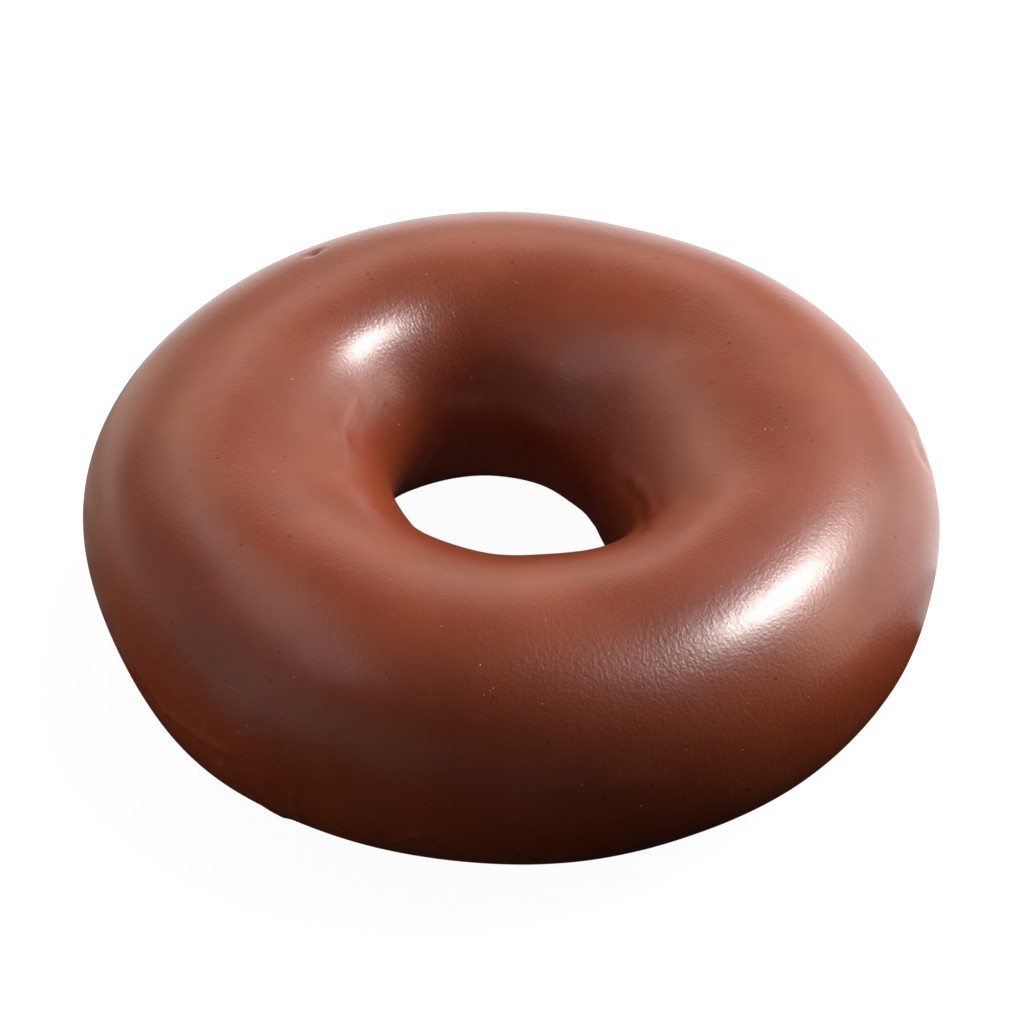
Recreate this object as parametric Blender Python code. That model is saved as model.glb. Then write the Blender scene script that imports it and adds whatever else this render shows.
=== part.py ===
"""Mocha glazed doughnut: a ring of fried yeast dough under a thin, set mocha glaze.

The doughnut is one solid. Its section is wider than it is tall, full and round above the waist, and pressed
flat below where the ring rests. Slow waves make the outline, the hole and the crown as uneven as risen
dough, and swellings, pleats and creases lie on that form. Lengths are in metres and +Z is up. The ring
rests on z = 0 with the middle of its outline over the origin, and its front faces -Y.
"""

import math

import bpy
import numpy as np

# Driving dimensions of the plain ring
OUTER_DIAMETER = 0.0900
CREST_DIAMETER = 0.0576
HOLE_DIAMETER = 0.0232
WAIST_HEIGHT = 0.0124
CROWN_ABOVE_WAIST = 0.0154
BELLY_BELOW_WAIST = 0.0131

CREST_RADIUS = CREST_DIAMETER / 2
OUTER_HALF_WIDTH = OUTER_DIAMETER / 2 - CREST_RADIUS
HOLE_HALF_WIDTH = CREST_RADIUS - HOLE_DIAMETER / 2
SECTION_RADIUS = (OUTER_HALF_WIDTH + CROWN_ABOVE_WAIST) / 2

# Slow waves round the ring: (crests round the ring, height, azimuth of a crest in degrees)
OUTLINE_WAVES = ((2, 0.00086, -28), (3, 0.00025, 18), (4, 0.00014, -1), (5, 0.00028, 23))
HOLE_WAVES = ((1, 0.0013, -47), (2, 0.00215, 39), (3, 0.00044, 37), (4, 0.00053, 2))
CROWN_WAVES = ((1, 0.00144, -68), (2, 0.00035, 25))

# Places on the ring are (azimuth, level) in degrees. Azimuth runs from +X towards +Y. Level runs round the
# section: 0 is the outside of the waist, 90 the crest, 180 the wall of the hole and 270 or -90 the foot.

# Slow unevenness: (crests round the ring, crests round the section, height, shift in degrees)
UNEVENNESS = ((5, 2, 0.00012, 40), (7, -3, 0.00006, 200), (11, 4, 0.00003, 300))

# Swellings and hollows: (azimuth, level, reach in azimuth, reach in level, height)
SWELLS = (
    (-141, -48, 18, 32, 0.00096),
    (-172, -48, 16, 32, -0.00039),
    (-100, -48, 14, 32, -0.0001),
    (-58, -48, 18, 32, -0.0004),
    (-12, -10, 11, 30, -0.0003),
    (6, 25, 2.0, 6, -0.0004),
    (13, 24, 2.0, 6, 0.0002),
    (135, 100, 25, 22, 0.0003),
    (135, 140, 25, 20, -0.0003),
)

# Pleats of set glaze round the near foot: (from, to, half width, height)
FOOT_PLEATS = (
    ((-157, 6), (-144, -4), 0.0009, 0.00020),
    ((-144, -4), (-131, 2), 0.0009, 0.00016),
    ((-132, -9), (-124, -34), 0.0009, 0.00020),
    ((-120, -3), (-120, -26), 0.0009, 0.00014),
    ((-115, -6), (-113, -18), 0.0008, 0.00012),
    ((-109, -4), (-107, -22), 0.0008, 0.00014),
    ((-106, -16), (-102, -5), 0.0008, 0.00012),
    ((-102, -5), (-99, -16), 0.0008, 0.00012),
)

# Low shoulders, creases and ridges on the wall of the hole: (from, to, half width, height)
HOLE_CREASES = (
    ((152, 131), (172, 128), 0.0016, 0.00022),
    ((172, 128), (194, 126), 0.0016, 0.00022),
    ((27, 174), (24, 205), 0.0006, -0.00035),
    ((-2, 154), (-27, 146), 0.0007, -0.00014),
    ((-27, 146), (-46, 128), 0.0007, -0.00018),
    ((16, 154), (-9, 148), 0.0007, 0.00010),
    ((-9, 148), (-31, 139), 0.0007, 0.00010),
    ((120, 180), (131, 198), 0.0007, 0.00030),
    ((92, 203), (116, 203), 0.0009, 0.00030),
)

# The ring's facets: more of them across the near left foot, where the pleats are
COLUMNS = 144
ROWS = 40
CLOSEST_COLUMNS_AZIMUTH = -130
CLOSEST_ROWS_LEVEL = -30
COLUMN_CROWDING = 0.40
ROW_CROWDING = 0.35

GLAZE_COLOUR = (0.175, 0.050, 0.026, 1.0)
GLAZE_ROUGHNESS = 0.36


def clear_scene():
    for old in list(bpy.data.objects):
        bpy.data.objects.remove(old, do_unlink=True)


def crowded(angle, middle, crowding):
    """The angles moved towards one place, with the full turn kept."""
    return angle - crowding * np.sin(angle - math.radians(middle))


def turned(angle):
    """The same angle, between minus half a turn and half a turn."""
    return np.arctan2(np.sin(angle), np.cos(angle))


def waves(azimuth, parts):
    height = np.zeros_like(azimuth)
    for crests, crest_height, crest_azimuth in parts:
        height += crest_height * np.cos(crests * (azimuth - math.radians(crest_azimuth)))
    return height


def unevenness(azimuth, level):
    height = np.zeros_like(azimuth)
    for round_ring, round_section, crest_height, shift in UNEVENNESS:
        height += crest_height * np.cos(round_ring * azimuth + round_section * level + math.radians(shift))
    return height


def swells(azimuth, level):
    height = np.zeros_like(azimuth)
    for at_azimuth, at_level, azimuth_reach, level_reach, crest_height in SWELLS:
        across = turned(azimuth - math.radians(at_azimuth)) / math.radians(azimuth_reach)
        down = turned(level - math.radians(at_level)) / math.radians(level_reach)
        height += crest_height * np.exp(-(across**2) - down**2)
    return height


def pleats(azimuth, level, parts):
    """Rounded ridges, or grooves where the height is below zero, each along a straight way over the skin."""
    height = np.zeros_like(azimuth)
    for start, end, half_width, crest_height in parts:
        middle_level = math.radians((start[1] + end[1]) / 2)
        ring_radius = CREST_RADIUS + OUTER_HALF_WIDTH * math.cos(middle_level)
        way_x = math.radians(end[0] - start[0]) * ring_radius
        way_y = math.radians(end[1] - start[1]) * SECTION_RADIUS
        across = turned(azimuth - math.radians(start[0])) * ring_radius
        down = turned(level - math.radians(start[1])) * SECTION_RADIUS
        share = np.clip((across * way_x + down * way_y) / (way_x**2 + way_y**2), 0, 1)
        distance = np.hypot(across - share * way_x, down - share * way_y)
        height += crest_height * np.exp(-((distance / half_width) ** 2))
    return height


def ring_points(azimuth, level):
    """Where the skin is, for each place on the ring."""
    out = np.cos(level)
    up = np.sin(level)
    half_width = np.where(
        out > 0,
        OUTER_HALF_WIDTH + waves(azimuth, OUTLINE_WAVES),
        HOLE_HALF_WIDTH + waves(azimuth, HOLE_WAVES),
    )
    half_height = np.where(up > 0, CROWN_ABOVE_WAIST + waves(azimuth, CROWN_WAVES), BELLY_BELOW_WAIST)
    relief = unevenness(azimuth, level) + swells(azimuth, level)
    relief += pleats(azimuth, level, FOOT_PLEATS) + pleats(azimuth, level, HOLE_CREASES)
    radius = CREST_RADIUS + (half_width + relief) * out
    height = WAIST_HEIGHT + (half_height + relief) * up
    height = np.maximum(height, 0.0)
    return np.stack([radius * np.cos(azimuth), radius * np.sin(azimuth), height], axis=-1)


def glaze_material():
    material = bpy.data.materials.new("mocha_glaze")
    material.use_nodes = True
    shader = material.node_tree.nodes["Principled BSDF"]
    shader.inputs["Base Color"].default_value = GLAZE_COLOUR
    shader.inputs["Roughness"].default_value = GLAZE_ROUGHNESS
    shader.inputs["Metallic"].default_value = 0.0
    material.diffuse_color = GLAZE_COLOUR
    return material


def add_doughnut(collection):
    """A plain torus whose points are moved to the doughnut's skin, and centred over the origin."""
    bpy.ops.mesh.primitive_torus_add(
        major_segments=COLUMNS,
        minor_segments=ROWS,
        major_radius=CREST_RADIUS,
        minor_radius=SECTION_RADIUS,
    )
    doughnut = bpy.context.object
    doughnut.name = "doughnut"
    mesh = doughnut.data
    plain = np.empty(len(mesh.vertices) * 3)
    mesh.vertices.foreach_get("co", plain)
    x, y, z = plain.reshape(-1, 3).T
    azimuth = np.arctan2(y, x)
    level = np.arctan2(z, np.hypot(x, y) - CREST_RADIUS)
    azimuth = crowded(azimuth, CLOSEST_COLUMNS_AZIMUTH, COLUMN_CROWDING)
    level = crowded(level, CLOSEST_ROWS_LEVEL, ROW_CROWDING)
    points = ring_points(azimuth, level)
    outline_middle = (points.min(axis=0) + points.max(axis=0)) / 2
    points[:, :2] -= outline_middle[:2]
    mesh.vertices.foreach_set("co", points.ravel())
    mesh.shade_smooth()
    mesh.update()
    mesh.materials.append(glaze_material())
    for home in list(doughnut.users_collection):
        home.objects.unlink(doughnut)
    collection.objects.link(doughnut)
    return doughnut


clear_scene()
parts = bpy.data.collections.new("mocha_glazed_doughnut")
bpy.context.scene.collection.children.link(parts)
add_doughnut(parts)
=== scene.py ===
import math

import bpy
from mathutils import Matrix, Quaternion, Vector


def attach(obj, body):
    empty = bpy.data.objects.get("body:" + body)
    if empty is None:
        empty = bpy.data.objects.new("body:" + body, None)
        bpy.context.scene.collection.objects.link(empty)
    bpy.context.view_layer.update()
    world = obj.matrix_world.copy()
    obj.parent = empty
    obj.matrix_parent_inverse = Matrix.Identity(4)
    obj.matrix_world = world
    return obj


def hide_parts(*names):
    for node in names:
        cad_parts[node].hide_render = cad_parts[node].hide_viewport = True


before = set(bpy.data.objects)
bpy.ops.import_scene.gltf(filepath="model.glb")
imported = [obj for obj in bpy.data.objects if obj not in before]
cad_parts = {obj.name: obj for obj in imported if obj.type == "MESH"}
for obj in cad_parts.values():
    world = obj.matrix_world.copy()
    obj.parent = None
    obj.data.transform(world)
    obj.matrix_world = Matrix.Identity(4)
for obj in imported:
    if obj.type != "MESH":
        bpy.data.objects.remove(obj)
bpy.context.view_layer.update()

# Glazed ring
# A ring of yeast dough, risen and fried, then dipped whole in mocha glaze, which sets to a thin satin skin.
# It is a grid bent into a ring by the sizes of the frame's solid, with finer pleats, pits and grain on it.
RING_SIZES = {
    "Outer Diameter": 0.0900,
    "Crest Diameter": 0.0576,
    "Hole Diameter": 0.0232,
    "Waist Height": 0.0124,
    "Crown Above Waist": 0.0154,
    "Belly Below Waist": 0.0131,
    "Columns": 490,
    "Rows": 200,
}

# (crests round the ring, height in metres, azimuth of a crest in degrees)
OUTLINE_WAVES = ((2, 0.00086, -28), (3, 0.00025, 18), (4, 0.00014, -1), (5, 0.00028, 23))
HOLE_WAVES = ((1, 0.0013, -47), (2, 0.00215, 39), (3, 0.00044, 37), (4, 0.00053, 2))
CROWN_WAVES = ((1, 0.00144, -68), (2, 0.00035, 25))

# (crests round the ring, crests round the section, height, shift in degrees)
UNEVENNESS = ((5, 2, 0.00012, 40), (7, -3, 0.00006, 200), (11, 4, 0.00003, 300))

# Places are (azimuth, level) in degrees: azimuth from +X towards +Y, and level round the section, with 0
# the outside of the waist, 90 the crest, 180 the wall of the hole and -90 the foot.
# (azimuth, level, reach in azimuth, reach in level, height)
SWELLS = (
    (-141, -48, 18, 32, 0.00096),
    (-172, -48, 16, 32, -0.00039),
    (-100, -48, 14, 32, -0.0001),
    (-58, -48, 18, 32, -0.0004),
    (-12, -10, 11, 30, -0.0003),
    (6, 25, 2.0, 6, -0.0004),
    (13, 24, 2.0, 6, 0.0002),
    (135, 100, 25, 22, 0.0003),
    (135, 140, 25, 20, -0.0003),
    (124.2, 56, 1.2, 1.8, -0.0004),
)

# (from, to, half width, height)
PLEATS = (
    ((-157, 6), (-144, -4), 0.0006, 0.00020),
    ((-144, -4), (-131, 2), 0.0006, 0.00016),
    ((-132, -9), (-124, -34), 0.0006, 0.00020),
    ((-120, -3), (-120, -26), 0.0005, 0.00014),
    ((-115, -6), (-113, -18), 0.0005, 0.00012),
    ((-109, -4), (-107, -22), 0.0005, 0.00014),
    ((-106, -16), (-102, -5), 0.0005, 0.00012),
    ((-102, -5), (-99, -16), 0.0005, 0.00012),
    ((152, 131), (172, 128), 0.0016, 0.00022),
    ((172, 128), (194, 126), 0.0016, 0.00022),
    ((27, 174), (24, 205), 0.0005, -0.00035),
    ((-2, 154), (-27, 146), 0.0005, -0.00014),
    ((-27, 146), (-46, 128), 0.0005, -0.00018),
    ((16, 154), (-9, 148), 0.0006, 0.00019),
    ((-9, 148), (-31, 139), 0.0006, 0.00019),
    ((120, 180), (131, 198), 0.0005, 0.00030),
    ((92, 203), (116, 203), 0.0008, 0.00030),
)

# Fine unevenness of the set skin: (spacing, height)
SKIN_WAVES = ((0.0065, 0.000020), (0.0024, 0.000010))
SEAM_GAP = 1e-7

# A pock by the far left rim, in the last hollow above, with painted shade darkening the glaze in it
PIT_AZIMUTH = math.radians(124.2)
PIT_LEVEL = math.radians(56)
PIT_REACH = 0.0005
# Painted shade: the colour the glaze is darkened towards in the pock
PIT_PAINTED_SHADE = (0.15, 0.022, 0.006, 1.0)
PIT_SHADE_SHARE = 0.8

# The grid's lines are crowded towards the near left foot, where the pleats are
CLOSEST_COLUMNS_AZIMUTH = -130
CLOSEST_ROWS_LEVEL = -30
COLUMN_CROWDING = 0.40
ROW_CROWDING = 0.35

GLAZE_DARK = (0.200, 0.0320, 0.0088, 1.0)
GLAZE_LIGHT = (0.240, 0.0420, 0.0125, 1.0)
GLAZE_ROUGHNESS = 0.34
COAT_WEIGHT = 0.26
COAT_ROUGHNESS = 0.24

# Clouds and mottling in the glaze's colour: spacing in metres, and share of the second colour
CLOUD_SPACING = 0.009
MOTTLE_SPACING = 0.0022
MOTTLE_SHARE = 0.25
COCOA_SPACING = 0.00016
COCOA_COLOUR = (0.10, 0.014, 0.004, 1.0)
COCOA_SHARE = 0.14

# Patches that are duller or glossier: (spacing in metres, how far the roughness swings)
DULL_PATCHES = ((0.004, 0.06), (0.0006, 0.10))
COAT_SPACING = 0.003
THIN_COAT_SHARE = 0.6
THICK_COAT_GAIN = 0.8

# Grain of the skin, too fine for the mesh: (height, spacing) in metres
WRINKLES = (0.000023, 0.00033)
LEATHER = (0.000014, 0.00036)
GRAIN = (0.000012, 0.00016)
STREAKS = (0.000026, 0.00032)
STREAK_STRETCH = (1.0, 1.0, 0.35)


class Wire:
    """One output of a node. Arithmetic on it adds Math nodes, and node() adds a node of any other kind."""

    def __init__(self, tree, socket=None):
        self.tree = tree
        self.socket = socket

    def node(self, kind, settings=None, inputs=None, out=0):
        made = self.tree.nodes.new(kind)
        for name, value in (settings or {}).items():
            setattr(made, name, value)
        for place, value in (inputs or {}).items():
            if isinstance(value, Wire):
                self.tree.links.new(value.socket, made.inputs[place])
            else:
                made.inputs[place].default_value = value
        return Wire(self.tree, made.outputs[out])

    def math(self, operation, *values, clamp=False):
        settings = {"operation": operation, "use_clamp": clamp}
        return self.node("ShaderNodeMath", settings, dict(enumerate(values)))

    def __add__(self, other):
        return self.math("ADD", self, other)

    def __radd__(self, other):
        return self.math("ADD", other, self)

    def __sub__(self, other):
        return self.math("SUBTRACT", self, other)

    def __rsub__(self, other):
        return self.math("SUBTRACT", other, self)

    def __mul__(self, other):
        return self.math("MULTIPLY", self, other)

    def __rmul__(self, other):
        return self.math("MULTIPLY", other, self)

    def __truediv__(self, other):
        return self.math("DIVIDE", self, other)


def new_tree(name, inputs):
    """A geometry tree with these named inputs, and its input wires by name."""
    tree = bpy.data.node_groups.new(name, "GeometryNodeTree")
    for label, kind in inputs.items():
        tree.interface.new_socket(label, in_out="INPUT", socket_type=kind)
    tree.interface.new_socket("Geometry", in_out="OUTPUT", socket_type="NodeSocketGeometry")
    start = tree.nodes.new("NodeGroupInput")
    return tree, {label: Wire(tree, start.outputs[label]) for label in inputs}


def close_tree(shape, material):
    """Ends a tree with its instances made real and its material set."""
    real = shape.node("GeometryNodeRealizeInstances", inputs={0: shape})
    dressed = real.node("GeometryNodeSetMaterial", inputs={0: real, "Material": material})
    end = shape.tree.nodes.new("NodeGroupOutput")
    shape.tree.links.new(dressed.socket, end.inputs[0])


def mesh_of_tree(name, tree, values):
    """The plain mesh object that the tree makes from these input values."""
    holder = bpy.data.objects.new(name + "_tree", bpy.data.meshes.new(name + "_empty"))
    bpy.context.scene.collection.objects.link(holder)
    modifier = holder.modifiers.new("Shape", "NODES")
    modifier.node_group = tree
    for item in tree.interface.items_tree:
        if item.item_type == "SOCKET" and item.in_out == "INPUT":
            modifier[item.identifier] = values[item.name]
    graph = bpy.context.evaluated_depsgraph_get()
    mesh = bpy.data.meshes.new_from_object(holder.evaluated_get(graph))
    bpy.data.objects.remove(holder, do_unlink=True)
    mesh.name = name
    piece = bpy.data.objects.new(name, mesh)
    bpy.context.scene.collection.objects.link(piece)
    return piece


def waves(azimuth, parts):
    """Slow waves round the ring, summed."""
    total = 0
    for crests, height, crest in parts:
        total = total + height * azimuth.math("COSINE", crests * (azimuth - math.radians(crest)))
    return total


def hill(x, y):
    """A rounded hill of height 1, where x and y are the distances from its top in reaches."""
    return x.math("EXPONENT", 0 - (x * x + y * y))


def wrapped(angle):
    """The same angle, between minus half a turn and half a turn."""
    return angle.math("WRAP", angle, math.pi, -math.pi)


def relief(azimuth, level, crest_radius, outer_half_width, section_radius):
    """How far the skin stands out of the plain ring: unevenness, swells, then pleats and grooves."""
    total = 0
    for around, over, height, shift in UNEVENNESS:
        turn = around * azimuth + over * level + math.radians(shift)
        total = total + height * azimuth.math("COSINE", turn)
    for at_azimuth, at_level, azimuth_reach, level_reach, height in SWELLS:
        across = wrapped(azimuth - math.radians(at_azimuth)) / math.radians(azimuth_reach)
        down = wrapped(level - math.radians(at_level)) / math.radians(level_reach)
        total = total + height * hill(across, down)
    for start, end, half_width, height in PLEATS:
        middle = math.radians((start[1] + end[1]) / 2)
        ring_radius = crest_radius + outer_half_width * math.cos(middle)
        way_x = math.radians(end[0] - start[0]) * ring_radius
        way_y = math.radians(end[1] - start[1]) * section_radius
        across = wrapped(azimuth - math.radians(start[0])) * ring_radius
        down = wrapped(level - math.radians(start[1])) * section_radius
        along = across * way_x + down * way_y
        share = along.math("DIVIDE", along, way_x * way_x + way_y * way_y, clamp=True)
        from_way = across - share * way_x, down - share * way_y
        total = total + height * hill(from_way[0] / half_width, from_way[1] / half_width)
    return total


def ring_tree():
    """A flat grid of azimuth and level, bent to the skin of the ring and closed along its seams."""
    kinds = {label: "NodeSocketFloat" for label in RING_SIZES}
    kinds.update({"Columns": "NodeSocketInt", "Rows": "NodeSocketInt", "Glaze": "NodeSocketMaterial"})
    tree, size = new_tree("glazed ring", kinds)
    start = Wire(tree)
    full_turn = 2 * math.pi
    grid = start.node(
        "GeometryNodeMeshGrid",
        inputs={
            "Size X": full_turn,
            "Size Y": full_turn,
            "Vertices X": size["Columns"] + 1,
            "Vertices Y": size["Rows"] + 1,
        },
    )
    place = start.node("GeometryNodeInputPosition")
    azimuth = place.node("ShaderNodeSeparateXYZ", inputs={0: place}, out=0)
    level = place.node("ShaderNodeSeparateXYZ", inputs={0: place}, out=1) + math.pi / 2
    from_closest = azimuth - math.radians(CLOSEST_COLUMNS_AZIMUTH)
    azimuth = azimuth - COLUMN_CROWDING * azimuth.math("SINE", from_closest)
    from_closest = level - math.radians(CLOSEST_ROWS_LEVEL)
    level = level - ROW_CROWDING * level.math("SINE", from_closest)

    crest_radius = size["Crest Diameter"] * 0.5
    outer_half_width = size["Outer Diameter"] * 0.5 - crest_radius
    hole_half_width = crest_radius - size["Hole Diameter"] * 0.5
    section_radius = (outer_half_width + size["Crown Above Waist"]) * 0.5
    out = level.math("COSINE", level)
    up = level.math("SINE", level)
    outside = out.math("GREATER_THAN", out, 0.0)
    above = up.math("GREATER_THAN", up, 0.0)
    outer_half_width_here = outer_half_width + waves(azimuth, OUTLINE_WAVES)
    hole_half_width_here = hole_half_width + waves(azimuth, HOLE_WAVES)
    crown_here = size["Crown Above Waist"] + waves(azimuth, CROWN_WAVES)
    half_width = outside * outer_half_width_here + (1 - outside) * hole_half_width_here
    half_height = above * crown_here + (1 - above) * size["Belly Below Waist"]
    proud = relief(azimuth, level, crest_radius, outer_half_width, section_radius)

    round_ring = azimuth.math("COSINE", azimuth), azimuth.math("SINE", azimuth)
    skin_place = azimuth.node(
        "ShaderNodeCombineXYZ",
        inputs={
            0: round_ring[0] * crest_radius,
            1: round_ring[1] * crest_radius,
            2: level * section_radius,
        },
    )
    for spacing, height in SKIN_WAVES:
        wave = skin_place.node(
            "ShaderNodeTexNoise", inputs={"Vector": skin_place, "Scale": 1 / spacing, "Detail": 1.0}
        )
        proud = proud + height * 2 * (wave - 0.5)

    radius = crest_radius + (half_width + proud) * out
    height = size["Waist Height"] + (half_height + proud) * up
    height = height.math("MAXIMUM", height, 0.0)
    point = radius.node(
        "ShaderNodeCombineXYZ", inputs={0: radius * round_ring[0], 1: radius * round_ring[1], 2: height}
    )
    placed = grid.node(
        "GeometryNodeStoreNamedAttribute",
        {"data_type": "FLOAT_VECTOR", "domain": "POINT"},
        {"Geometry": grid, "Name": "skin_place", "Value": skin_place},
    )
    bent = placed.node("GeometryNodeSetPosition", inputs={"Geometry": placed, "Position": point})
    closed = bent.node("GeometryNodeMergeByDistance", inputs={"Geometry": bent, "Distance": SEAM_GAP})
    smooth = closed.node("GeometryNodeSetShadeSmooth", inputs={"Geometry": closed})
    close_tree(smooth, size["Glaze"])
    return tree


def mixed(share, first, second):
    """A colour between two colours."""
    return share.node("ShaderNodeMix", {"data_type": "RGBA"}, {0: share, 6: first, 7: second}, out=2)


def spread(value, low, high):
    """The value stretched so that low becomes 0 and high becomes 1."""
    return value.node(
        "ShaderNodeMapRange", {"clamp": True},
        {"Value": value, "From Min": low, "From Max": high, "To Min": 0.0, "To Max": 1.0},
    )


def noise(place, spacing, detail=2.0):
    """Cloudy noise from 0 to 1, with this spacing in metres."""
    return place.node(
        "ShaderNodeTexNoise", inputs={"Vector": place, "Scale": 1 / spacing, "Detail": detail}
    )


def distance_from_pit(skin_place):
    """How far a place on the skin is from the pock's middle."""
    crest_radius = RING_SIZES["Crest Diameter"] / 2
    section_radius = (RING_SIZES["Outer Diameter"] / 2 - crest_radius + RING_SIZES["Crown Above Waist"]) / 2
    pit = (
        crest_radius * math.cos(PIT_AZIMUTH),
        crest_radius * math.sin(PIT_AZIMUTH),
        section_radius * PIT_LEVEL,
    )
    gap = skin_place.node("ShaderNodeVectorMath", {"operation": "SUBTRACT"}, {0: skin_place, 1: pit})
    return gap.node("ShaderNodeVectorMath", {"operation": "LENGTH"}, {0: gap}, out="Value")


def glaze_colour(place, skin_place):
    """Brown glaze, a little cloudy and mottled, with fine cocoa in it and painted shade in the pock."""
    colour = mixed(spread(noise(place, CLOUD_SPACING), 0.35, 0.65), GLAZE_DARK, GLAZE_LIGHT)
    mottled = spread(noise(place, MOTTLE_SPACING, 3.0), 0.3, 0.7)
    colour = mixed(MOTTLE_SHARE * mottled, colour, GLAZE_LIGHT)
    cocoa = spread(noise(place, COCOA_SPACING, 1.0), 0.25, 0.75)
    colour = mixed(COCOA_SHARE * cocoa, colour, COCOA_COLOUR)
    # Painted shade: the glaze darkens towards the pock's middle
    pit_shade = spread(distance_from_pit(skin_place), PIT_REACH, 0.4 * PIT_REACH)
    return mixed(PIT_SHADE_SHARE * pit_shade, colour, PIT_PAINTED_SHADE)


def glaze_grain(place, skin_place):
    """The height of the skin's finest relief, wrinkled like leather and drawn out down the sides."""
    wrinkles = noise(place, WRINKLES[1])
    leather = place.node(
        "ShaderNodeTexVoronoi", {"feature": "SMOOTH_F1"}, {"Vector": place, "Scale": 1 / LEATHER[1]}
    )
    grain = noise(place, GRAIN[1], 1.0)
    drawn_out = skin_place.node(
        "ShaderNodeVectorMath", {"operation": "MULTIPLY"}, {0: skin_place, 1: STREAK_STRETCH}
    )
    streaks = noise(drawn_out, STREAKS[1])
    return WRINKLES[0] * wrinkles + LEATHER[0] * leather + GRAIN[0] * grain + STREAKS[0] * streaks


def glaze_material():
    """Set mocha glaze: a satin body under a thin, glossier skin of sugar."""
    material = bpy.data.materials.new("mocha_glaze")
    material.use_nodes = True
    tree = material.node_tree
    sockets = tree.nodes["Principled BSDF"].inputs
    start = Wire(tree)
    place = start.node("ShaderNodeTexCoord", out="Object")
    skin_place = start.node("ShaderNodeAttribute", {"attribute_name": "skin_place"}, out="Vector")
    tree.links.new(glaze_colour(place, skin_place).socket, sockets["Base Color"])

    broad, small = DULL_PATCHES
    roughness = GLAZE_ROUGHNESS + broad[1] * (noise(place, broad[0]) - 0.5)
    roughness = roughness + small[1] * (noise(place, small[0], 3.0) - 0.5)
    tree.links.new(roughness.socket, sockets["Roughness"])
    coat = COAT_WEIGHT * (THIN_COAT_SHARE + THICK_COAT_GAIN * noise(place, COAT_SPACING))
    tree.links.new(coat.socket, sockets["Coat Weight"])
    sockets["Coat Roughness"].default_value = COAT_ROUGHNESS

    grain = glaze_grain(place, skin_place)
    bump = grain.node("ShaderNodeBump", inputs={"Strength": 1.0, "Distance": 1.0, "Height": grain})
    tree.links.new(bump.socket, sockets["Normal"])
    return material


ring = mesh_of_tree("glazed_ring", ring_tree(), {**RING_SIZES, "Glaze": glaze_material()})
corners = [Vector(corner) for corner in ring.bound_box]
outline_middle = (corners[0] + corners[6]) / 2
for vertex in ring.data.vertices:
    vertex.co.x -= outline_middle.x
    vertex.co.y -= outline_middle.y
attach(ring, "root")
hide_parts("doughnut")

# Blisters
# Pin-head bubbles of air that rose through the wet glaze and set as low domes, in loose patches, their pale
# colour a painted glint.
# Small flattened balls are scattered over the ring's skin, half sunk in it, with none on the foot.
BLISTER_SIZES = {
    "Dome Width": 0.00022,
    "Dome Height": 0.00003,
    "Density": 60000.0,
    "Smallest": 0.5,
    "Largest": 1.3,
}
BLISTER_SEED = 7
# Painted glint: the pale end of the blisters' colour; the brown end is the glaze's own colour
BLISTER_PAINTED_GLINT = (0.46, 0.21, 0.14, 1.0)
BLISTER_BROWN = (0.30, 0.085, 0.040, 1.0)
BLISTER_ROUGHNESS = 0.24

# Where they lie thick: up to full density where the skin faces up, and in patches over it
LOWEST_FACING = -0.6
FACING_GAIN = 1.4
PATCHES_PER_METRE = 90.0
BARE_PATCH = 0.42
FULL_PATCH = 0.62
BARE_PATCH_SHARE = 0.25
NARROWEST = 0.6
BALL_SIDES = 8
BALL_RINGS = 5

# Each fleck is a little lighter or darker, and duller or glossier, than the next
SHADES_PER_METRE = 900.0
DULLNESS_SWING = 0.2


def dome(start, size):
    """A low ball, half sunk in the skin."""
    ball = start.node(
        "GeometryNodeMeshUVSphere", inputs={"Segments": BALL_SIDES, "Rings": BALL_RINGS, "Radius": 0.5}
    )
    shape = start.node(
        "ShaderNodeCombineXYZ",
        inputs={0: size["Dome Width"], 1: size["Dome Width"], 2: 2 * size["Dome Height"]},
    )
    flat = ball.node("GeometryNodeTransform", inputs={"Geometry": ball, "Scale": shape})
    return flat.node("GeometryNodeSetShadeSmooth", inputs={"Geometry": flat, "Shade Smooth": False})


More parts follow.
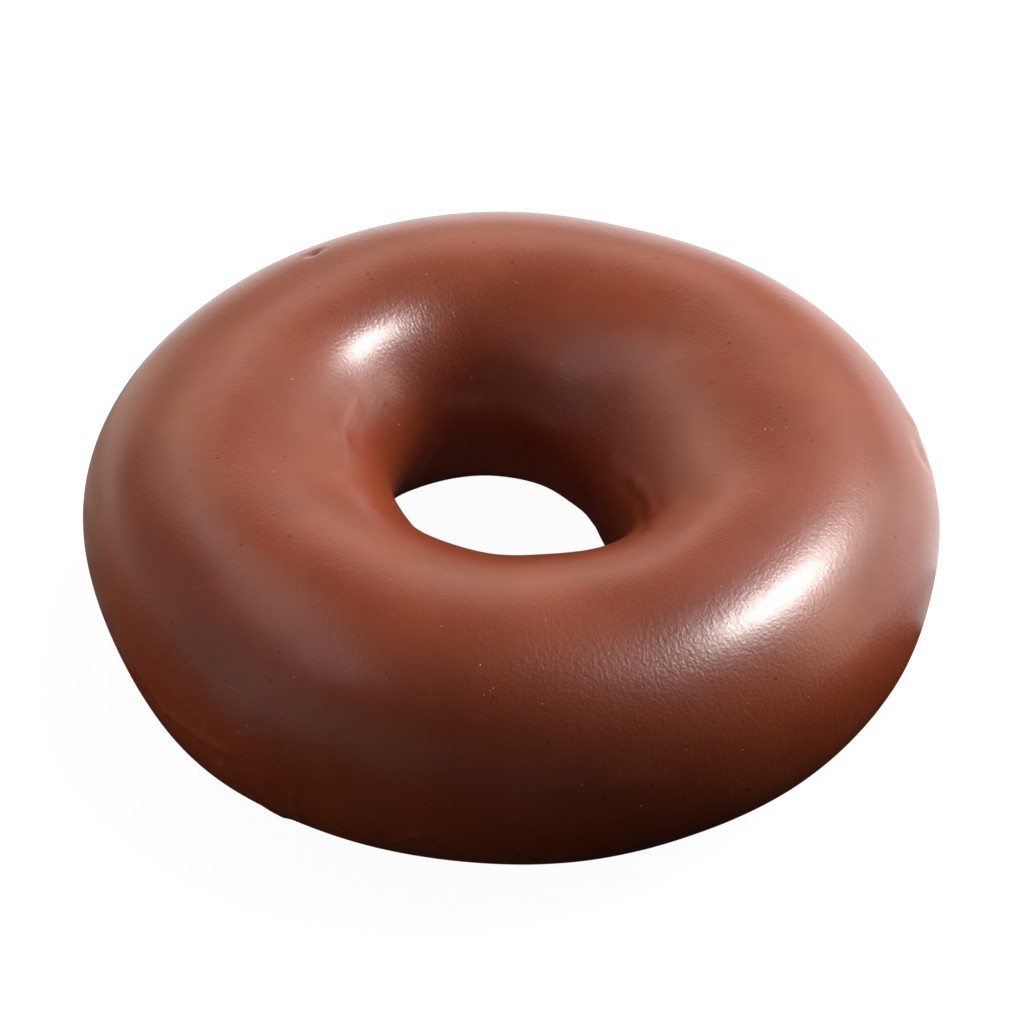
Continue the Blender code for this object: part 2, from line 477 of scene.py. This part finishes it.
def scatter_tree(name, labels, seed, material_label):
    """Domes over the skin of a mesh, turned at random, some large, some small, and none on the foot."""
    kinds = {label: "NodeSocketFloat" for label in labels}
    kinds.update({"Skin": "NodeSocketObject", material_label: "NodeSocketMaterial"})
    tree, size = new_tree(name, kinds)
    start = Wire(tree)

    def random(low, high, draw):
        return start.node(
            "FunctionNodeRandomValue", {"data_type": "FLOAT"},
            {"Min": low, "Max": high, "Seed": seed + draw}, out=1,
        )

    skin = start.node("GeometryNodeObjectInfo", inputs={"Object": size["Skin"]}, out="Geometry")
    normal = start.node("GeometryNodeInputNormal")
    facing = normal.node("ShaderNodeSeparateXYZ", inputs={0: normal}, out=2) - LOWEST_FACING
    exposed = facing.math("MULTIPLY", facing, FACING_GAIN, clamp=True)
    place = start.node("GeometryNodeInputPosition")
    patches = place.node(
        "ShaderNodeTexNoise", inputs={"Vector": place, "Scale": PATCHES_PER_METRE, "Detail": 1.0}
    )
    patchy = patches.node(
        "ShaderNodeMapRange", {"clamp": True},
        {
            "Value": patches,
            "From Min": BARE_PATCH,
            "From Max": FULL_PATCH,
            "To Min": BARE_PATCH_SHARE,
            "To Max": 1.0,
        },
    )
    points = skin.node(
        "GeometryNodeDistributePointsOnFaces", {"distribute_method": "RANDOM"},
        {"Mesh": skin, "Density": size["Density"] * exposed * patchy, "Seed": seed},
    )
    upright = Wire(tree, points.socket.node.outputs["Rotation"])
    turn = random(0.0, 2 * math.pi, 1)
    spin = turn.node("ShaderNodeCombineXYZ", inputs={2: turn})
    turned = upright.node(
        "FunctionNodeRotateRotation", {"rotation_space": "LOCAL"}, {"Rotation": upright, "Rotate By": spin}
    )
    share = random(0.0, 1.0, 2)
    scale = size["Smallest"] + (size["Largest"] - size["Smallest"]) * share * share
    narrowing = random(NARROWEST, 1.0, 3)
    sizes = scale.node("ShaderNodeCombineXYZ", inputs={0: scale, 1: scale * narrowing, 2: scale})
    domes = points.node(
        "GeometryNodeInstanceOnPoints",
        inputs={"Points": points, "Instance": dome(start, size), "Rotation": turned, "Scale": sizes},
    )
    close_tree(domes, size[material_label])
    return tree


def fleck_material(name, first, second, roughness):
    """Flecks of a colour between two colours, each a little unlike the next."""
    material = bpy.data.materials.new(name)
    material.use_nodes = True
    tree = material.node_tree
    sockets = tree.nodes["Principled BSDF"].inputs
    place = Wire(tree).node("ShaderNodeTexCoord", out="Object")
    shades = place.node(
        "ShaderNodeTexNoise", inputs={"Vector": place, "Scale": SHADES_PER_METRE, "Detail": 1.0}
    )
    tree.links.new(mixed(shades, first, second).socket, sockets["Base Color"])
    tree.links.new((roughness + DULLNESS_SWING * (shades - 0.5)).socket, sockets["Roughness"])
    return material


blister_glaze_and_glint = fleck_material("blister_glaze_and_glint", BLISTER_BROWN, BLISTER_PAINTED_GLINT, BLISTER_ROUGHNESS)
blisters = mesh_of_tree(
    "glaze_blisters",
    scatter_tree("glaze blisters", BLISTER_SIZES, BLISTER_SEED, "Glaze"),
    {**BLISTER_SIZES, "Skin": ring, "Glaze": blister_glaze_and_glint},
)
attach(blisters, "root")

# Cocoa specks
# Grains of cocoa and coffee that didn't dissolve in the glaze, and lie nearly flush with its skin as dark
# flecks. They are scattered in the same way as the blisters, much flatter and nearly twice as wide.
SPECK_SIZES = {
    "Dome Width": 0.00040,
    "Dome Height": 0.000006,
    "Density": 40000.0,
    "Smallest": 0.5,
    "Largest": 1.4,
}
SPECK_SEED = 23
SPECK_DARK = (0.085, 0.011, 0.004, 1.0)
SPECK_LIGHT = (0.160, 0.023, 0.007, 1.0)
SPECK_ROUGHNESS = 0.33

speck_cocoa = fleck_material("cocoa_speck", SPECK_DARK, SPECK_LIGHT, SPECK_ROUGHNESS)
specks = mesh_of_tree(
    "cocoa_specks",
    scatter_tree("cocoa specks", SPECK_SIZES, SPECK_SEED, "Cocoa"),
    {**SPECK_SIZES, "Skin": ring, "Cocoa": speck_cocoa},
)
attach(specks, "root")

# Studio
# A plain pale floor that the doughnut rests on, and the camera at the photo's angle, 44 degrees above the
# table and 0.7 m away. A small bright softbox stands at the right, a long dim one is high at the left, and
# faint panels low round the back and cards on the table light the rims.
CAMERA_ELEVATION = math.radians(44)
CAMERA_DISTANCE = 0.7
PIXELS_ACROSS = 1024
WAIST_CENTRE_PIXEL = (511, 530)
PIXELS_PER_METRE_AT_ONE_METRE = 6579
SENSOR_MM = 36
NEAREST_SEEN = 0.01

forward = Vector((0, math.cos(CAMERA_ELEVATION), -math.sin(CAMERA_ELEVATION)))
image_up = Vector((0, math.sin(CAMERA_ELEVATION), math.cos(CAMERA_ELEVATION)))
waist_centre = Vector((0, 0, RING_SIZES["Waist Height"]))
metres_per_pixel = CAMERA_DISTANCE / PIXELS_PER_METRE_AT_ONE_METRE
aim = waist_centre + Vector((PIXELS_ACROSS / 2 - WAIST_CENTRE_PIXEL[0], 0, 0)) * metres_per_pixel
aim += image_up * (WAIST_CENTRE_PIXEL[1] - PIXELS_ACROSS / 2) * metres_per_pixel
camera_data = bpy.data.cameras.new("camera")
camera_data.sensor_width = SENSOR_MM
camera_data.lens = SENSOR_MM * PIXELS_PER_METRE_AT_ONE_METRE / PIXELS_ACROSS
camera_data.clip_start = NEAREST_SEEN
camera = bpy.data.objects.new("camera", camera_data)
camera.location = aim - forward * CAMERA_DISTANCE
camera.rotation_euler = forward.to_track_quat("-Z", "Y").to_euler()
bpy.context.scene.collection.objects.link(camera)
bpy.context.scene.camera = camera

FLOOR_WIDTH = 3.0
FLOOR_DROP = 0.00002
FLOOR_GREY = (0.07, 0.07, 0.07, 1.0)
FLOOR_ROUGHNESS = 0.9
FLOOR_GLOW = 0.965

bpy.ops.mesh.primitive_plane_add(size=FLOOR_WIDTH, location=(0, 0, -FLOOR_DROP))
floor = bpy.context.object
floor.name = "floor"
floor_material = bpy.data.materials.new("pale_floor")
floor_material.use_nodes = True
floor_shader = floor_material.node_tree.nodes["Principled BSDF"]
floor_shader.inputs["Base Color"].default_value = FLOOR_GREY
floor_shader.inputs["Roughness"].default_value = FLOOR_ROUGHNESS
floor_shader.inputs["Emission Color"].default_value = (1.0, 1.0, 1.0, 1.0)
floor_shader.inputs["Emission Strength"].default_value = FLOOR_GLOW
floor.data.materials.append(floor_material)
floor.visible_diffuse = False
floor.visible_glossy = False

# Softboxes and panels, all facing the doughnut from the same distance: (azimuth and elevation in degrees,
# width and height in metres, turn in degrees, watts). Long ones have square corners, the others are oval.
# The fill lights brighten the glaze's own colour, and the key lights and low panels show in its shine.
FILL_LIGHTS = (
    (25, 8, 0.6, 0.6, 0, 4.2),
    (30, 30, 0.7, 0.7, 0, 7.6),
    (45, 52, 0.7, 0.7, 0, 8.3),
    (150, 8, 0.6, 0.6, 0, 4.3),
    (195, 8, 0.7, 0.7, 0, 3.4),
    (270, 8, 0.7, 0.7, 0, 0.45),
    (345, 30, 0.5, 0.5, 0, 1.1),
    (190, 75, 0.5, 0.5, 0, 0.5),
)
KEY_LIGHTS = (
    (10.1, 48.5, 0.49, 0.23, -42, 16.0),
    (172, 51, 1.08, 0.38, 0, 1.75),
)
LOW_PANELS = (
    (0, 8, 0.5, 0.5, 0, 1.3),
    (30, 8, 0.5, 0.5, 0, 1.15),
    (60, 8, 0.5, 0.5, 0, 0.35),
    (90, 8, 0.5, 0.5, 0, 0.5),
    (120, 8, 0.5, 0.5, 0, 0.3),
    (135, 31, 0.38, 0.54, 0, 0.48),
    (195, 12, 0.8, 0.7, 0, 0.30),
    (235, 12, 0.7, 0.7, 0, 0.25),
    (0, 27, 0.5, 0.4, 0, 1.2),
    (30, 27, 0.5, 0.4, 0, 1.1),
    (60, 27, 0.5, 0.4, 0, 0.65),
    (90, 27, 0.5, 0.4, 0, 0.85),
    (115, 30, 0.45, 0.4, 0, 0.85),
    (75, 46, 0.4, 0.4, 0, 0.24),
)
LIGHT_DISTANCE = 1.0
LONG_BOX = 2
WHITE = (1.0, 1.0, 1.0)
WARM_WHITE = (1.0, 0.84, 0.70)

# Cards on the table that show in the shine of the rims. Those at the left are dim and warm, as they catch
# the doughnut's own colour. (left, right, front and back edge, brightness, colour)
TABLE_CARDS = (
    (-0.05, 0.5, 0.046, 0.6, 1.35, WHITE),
    (-0.5, -0.05, 0.046, 0.6, 0.95, WARM_WHITE),
    (0.047, 0.5, 0.006, 0.046, 1.4, WHITE),
    (0.047, 0.5, -0.004, 0.006, 0.8, WHITE),
    (-0.5, -0.047, 0.018, 0.046, 0.42, WARM_WHITE),
    (-0.5, -0.047, 0.008, 0.018, 0.25, WARM_WHITE),
    (-0.5, -0.047, -0.002, 0.008, 0.15, WARM_WHITE),
    (-0.5, -0.047, -0.014, -0.002, 0.07, WARM_WHITE),
)
CARD_LIFT = 0.0001
FACING_UP = Quaternion((1, 0, 0), math.pi)

# The light that the table throws up on to the wall of the hole
HOLE_GLOW_WIDTH = 0.018
HOLE_GLOW_BRIGHTNESS = 0.35
HOLE_GLOW_PLACE = (0, 0.001, 0.0002)

# The dim room all round
ROOM_LIGHT = 0.008


def add_light(name, shape, width, height, watts, colour, place, facing, shines):
    """A flat lamp that shows in the shine alone, or lights the glaze's own colour alone."""
    light = bpy.data.lights.new(name, "AREA")
    light.shape = shape
    light.size = width
    light.size_y = height
    light.energy = watts
    light.color = colour
    lamp = bpy.data.objects.new(name, light)
    lamp.location = place
    lamp.rotation_euler = facing.to_euler()
    lamp.visible_glossy = shines
    lamp.visible_diffuse = not shines
    bpy.context.scene.collection.objects.link(lamp)


def watts_of(brightness, width, height):
    return brightness * math.pi * width * height


for panels, colour, shines in (
    (FILL_LIGHTS, WHITE, False), (KEY_LIGHTS, WHITE, True), (LOW_PANELS, WARM_WHITE, True),
):
    for azimuth, elevation, width, height, turn, watts in panels:
        azimuth = math.radians(azimuth)
        elevation = math.radians(elevation)
        level_reach = math.cos(elevation)
        towards = Vector((
            level_reach * math.cos(azimuth), level_reach * math.sin(azimuth), math.sin(elevation),
        ))
        facing = (-towards).to_track_quat("-Z", "Y") @ Quaternion((0, 0, 1), math.radians(turn))
        shape = "RECTANGLE" if width > LONG_BOX * height else "ELLIPSE"
        place = waist_centre + towards * LIGHT_DISTANCE
        add_light("softbox", shape, width, height, watts, colour, place, facing, shines)

for left, right, front, back, brightness, colour in TABLE_CARDS:
    width = right - left
    depth = back - front
    place = ((left + right) / 2, (front + back) / 2, CARD_LIFT)
    watts = watts_of(brightness, width, depth)
    add_light("table_card", "RECTANGLE", width, depth, watts, colour, place, FACING_UP, True)

width = HOLE_GLOW_WIDTH
watts = watts_of(HOLE_GLOW_BRIGHTNESS, width, width)
add_light("hole_glow", "SQUARE", width, width, watts, WHITE, HOLE_GLOW_PLACE, FACING_UP, False)

world = bpy.data.worlds.new("world")
bpy.context.scene.world = world
world.use_nodes = True
world.node_tree.nodes["Background"].inputs["Color"].default_value = (1.0, 1.0, 1.0, 1.0)
world.node_tree.nodes["Background"].inputs["Strength"].default_value = ROOM_LIGHT
bpy.context.scene.view_settings.view_transform = "Standard"
